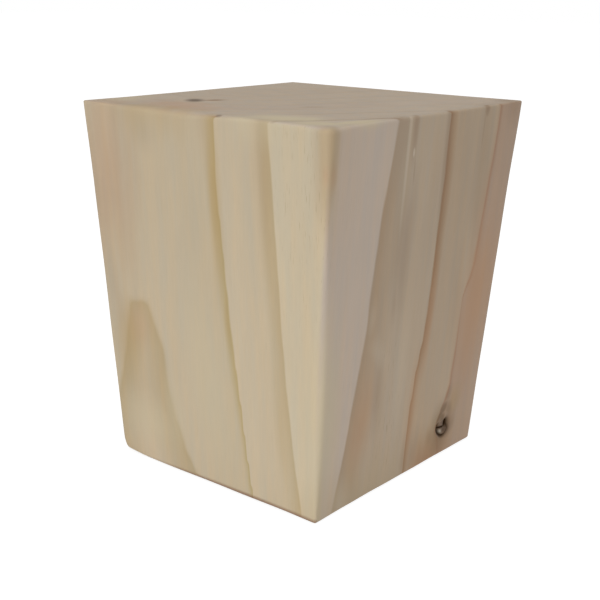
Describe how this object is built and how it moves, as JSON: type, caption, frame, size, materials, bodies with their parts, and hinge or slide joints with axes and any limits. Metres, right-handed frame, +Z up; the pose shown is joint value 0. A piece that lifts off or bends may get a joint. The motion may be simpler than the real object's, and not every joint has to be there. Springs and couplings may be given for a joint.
{
  "type": "tapered furniture leg",
  "caption": "Short tapered furniture leg of solid pine: a wide flat mounting face narrows on all sides to a flat foot, with eased arrises and a small dead knot low in a side.",
  "frame": {"origin": "middle of the foot's underside, on the floor", "axes": "+Z up from the foot to the mounting face, +X along the width with the knot in the +X face, +Y along the depth"},
  "size_m": [0.0818, 0.0878, 0.1],
  "materials": {
    "pine": "sanded, unfinished"
  },
  "bodies": {
    "root": {"leg": "pine"}
  },
  "joints": []
}
